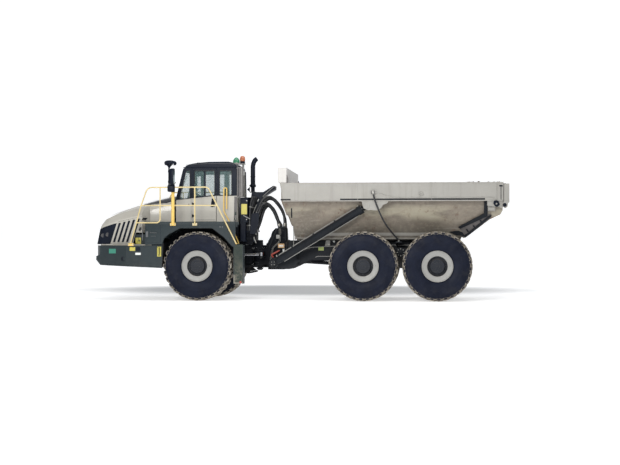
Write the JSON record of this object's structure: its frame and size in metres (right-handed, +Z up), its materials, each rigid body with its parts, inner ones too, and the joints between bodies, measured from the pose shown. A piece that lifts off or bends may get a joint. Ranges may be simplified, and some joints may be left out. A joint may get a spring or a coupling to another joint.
{
  "type": "articulated dump truck",
  "caption": "Off-road haul truck in two halves joined by a steering and rolling hitch, with a cab on the front half and a tipping load body with a tailgate on the rear half.",
  "frame": {"origin": "on the ground under the middle of the overall length, on the centre plane", "axes": "+X along the length towards the tail, +Y to the truck's right, +Z up; the front faces -X"},
  "size_m": [11.23, 3.8, 4.045],
  "materials": {
    "beige": "satin paint, dusty and scuffed",
    "tub": "paint worn through to rust and earth stains",
    "charcoal": "semi-matt paint under dust",
    "black": "semi-matt paint, greasy in places",
    "yellow": "gloss paint, faded",
    "tyre": "matt, dusty tread",
    "hose": "matt",
    "chrome": "polished",
    "steel": "oily",
    "glass": "tinted",
    "seat": "matt",
    "amber": "clear coloured lens"
  },
  "bodies": {
    "tractor": {"front_frame": "black", "engine": "steel", "front_axle": "black", "front_bumper": "charcoal", "platform_left": "charcoal", "platform_right": "charcoal", "handrails_left": "yellow", "handrails_right": "yellow", "mirror_left": "black", "mirror_right": "black", "cab_shell": "beige", "cab_roof": "black", "windscreen": "glass", "window_left_front": "glass", "window_left_rear": "glass", "window_right": "glass", "window_rear": "glass", "operator_seat": "seat", "dashboard": "seat", "cooler_pack": "black", "exhaust_stack": "black", "beacon": "amber", "steering_barrel_left": "black", "steering_barrel_right": "black"},
    "hood": {"hood_shell": "beige", "front_grille": "black"},
    "cab_door": {"cab_door": "beige", "door_glass": "glass"},
    "hitch": {"hitch_housing": "black", "articulation_hoses": "hose"},
    "trailer": {"trailer_frame": "charcoal", "mid_axle": "black", "rear_axle": "black", "walking_beam_left": "black", "walking_beam_right": "black"},
    "dump_body": {"dump_tub": "tub", "side_rail_left": "beige", "side_rail_right": "beige", "tailgate_rope_left": "hose", "tailgate_rope_right": "hose"},
    "tailgate": {"tailgate": "beige"},
    "wheel_front_left": {"tyre_front_left": "tyre", "rim_front_left": "beige"},
    "wheel_front_right": {"tyre_front_right": "tyre", "rim_front_right": "beige"},
    "wheel_mid_left": {"tyre_mid_left": "tyre", "rim_mid_left": "beige"},
    "wheel_mid_right": {"tyre_mid_right": "tyre", "rim_mid_right": "beige"},
    "wheel_rear_left": {"tyre_rear_left": "tyre", "rim_rear_left": "beige"},
    "wheel_rear_right": {"tyre_rear_right": "tyre", "rim_rear_right": "beige"},
    "steer_rod_left": {"steering_rod_left": "chrome"},
    "hoist_barrel_left": {"hoist_barrel_left": "charcoal"},
    "hoist_rod_left": {"hoist_rod_left": "chrome"},
    "steer_rod_right": {"steering_rod_right": "chrome"},
    "hoist_barrel_right": {"hoist_barrel_right": "charcoal"},
    "hoist_rod_right": {"hoist_rod_right": "chrome"}
  },
  "joints": [
    {"name": "wheel_front_left_spin", "type": "hinge", "parent": "tractor", "child": "wheel_front_left", "pos_m": [-2.69, -1.34, 0.93299], "axis": [0, 1, 0], "continuous": true},
    {"name": "wheel_front_right_spin", "type": "hinge", "parent": "tractor", "child": "wheel_front_right", "pos_m": [-2.69, 1.34, 0.93299], "axis": [0, 1, 0], "continuous": true},
    {"name": "wheel_mid_left_spin", "type": "hinge", "parent": "trailer", "child": "wheel_mid_left", "pos_m": [1.765, -1.34, 0.93299], "axis": [0, 1, 0], "continuous": true},
    {"name": "wheel_mid_right_spin", "type": "hinge", "parent": "trailer", "child": "wheel_mid_right", "pos_m": [1.765, 1.34, 0.93299], "axis": [0, 1, 0], "continuous": true},
    {"name": "wheel_rear_left_spin", "type": "hinge", "parent": "trailer", "child": "wheel_rear_left", "pos_m": [3.73, -1.34, 0.93299], "axis": [0, 1, 0], "continuous": true},
    {"name": "wheel_rear_right_spin", "type": "hinge", "parent": "trailer", "child": "wheel_rear_right", "pos_m": [3.73, 1.34, 0.93299], "axis": [0, 1, 0], "continuous": true},
    {"name": "hood_tilt", "type": "hinge", "parent": "tractor", "child": "hood", "pos_m": [-5.56, 0, 1.5], "axis": [0, -1, 0], "range_deg": [0, 62]},
    {"name": "cab_door_swing", "type": "hinge", "parent": "tractor", "child": "cab_door", "pos_m": [-2.965, -0.885, 2.8], "axis": [0, 0, -1], "range_deg": [0, 80]},
    {"name": "articulation_yaw", "type": "hinge", "parent": "tractor", "child": "hitch", "pos_m": [-1.2, 0, 1.25], "axis": [0, 0, 1], "range_deg": [-45, 45], "deforming": ["articulation_hoses"]},
    {"name": "trailer_roll", "type": "hinge", "parent": "hitch", "child": "trailer", "pos_m": [-1.2, 0, 1.25], "axis": [1, 0, 0], "range_deg": [-15, 15]},
    {"name": "dump_tip", "type": "hinge", "parent": "trailer", "child": "dump_body", "pos_m": [4.15, 0, 1.5], "axis": [0, 1, 0], "range_deg": [0, 65], "deforming": ["tailgate_rope_left", "tailgate_rope_right"]},
    {"name": "tailgate_swing", "type": "hinge", "parent": "dump_body", "child": "tailgate", "pos_m": [5.49, 0, 2.553], "axis": [0, 1, 0], "range_deg": [0, 70]},
    {"name": "steering_slide_left", "type": "slide", "parent": "tractor", "child": "steer_rod_left", "axis": [1, 0, 0], "range_m": [-0.37, 0.37]},
    {"name": "hoist_swing_left", "type": "hinge", "parent": "trailer", "child": "hoist_barrel_left", "pos_m": [-0.72, -0.85, 1], "axis": [-0.5367, -0.1778, 0.8248], "range_deg": [0, 5.72]},
    {"name": "hoist_slide_left", "type": "slide", "parent": "hoist_barrel_left", "child": "hoist_rod_left", "axis": [0.8397, -0.2083, 0.5015], "range_m": [0, 2.6705]},
    {"name": "steering_slide_right", "type": "slide", "parent": "tractor", "child": "steer_rod_right", "axis": [1, 0, 0], "range_m": [-0.37, 0.37]},
    {"name": "hoist_swing_right", "type": "hinge", "parent": "trailer", "child": "hoist_barrel_right", "pos_m": [-0.72, 0.85, 1], "axis": [0.5367, -0.1778, -0.8248], "range_deg": [0, 5.72]},
    {"name": "hoist_slide_right", "type": "slide", "parent": "hoist_barrel_right", "child": "hoist_rod_right", "axis": [0.8397, 0.2083, 0.5015], "range_m": [0, 2.6705]}
  ],
  "couplings": [
    {"joint": "steering_slide_left", "follows": "articulation_yaw", "m_per_rad": 0.4676},
    {"joint": "hoist_swing_left", "follows": "dump_tip", "ratio": 0.087965},
    {"joint": "hoist_slide_left", "follows": "dump_tip", "m_per_rad": 2.354},
    {"joint": "steering_slide_right", "follows": "articulation_yaw", "m_per_rad": -0.4676},
    {"joint": "hoist_swing_right", "follows": "dump_tip", "ratio": 0.087965},
    {"joint": "hoist_slide_right", "follows": "dump_tip", "m_per_rad": 2.354}
  ]
}
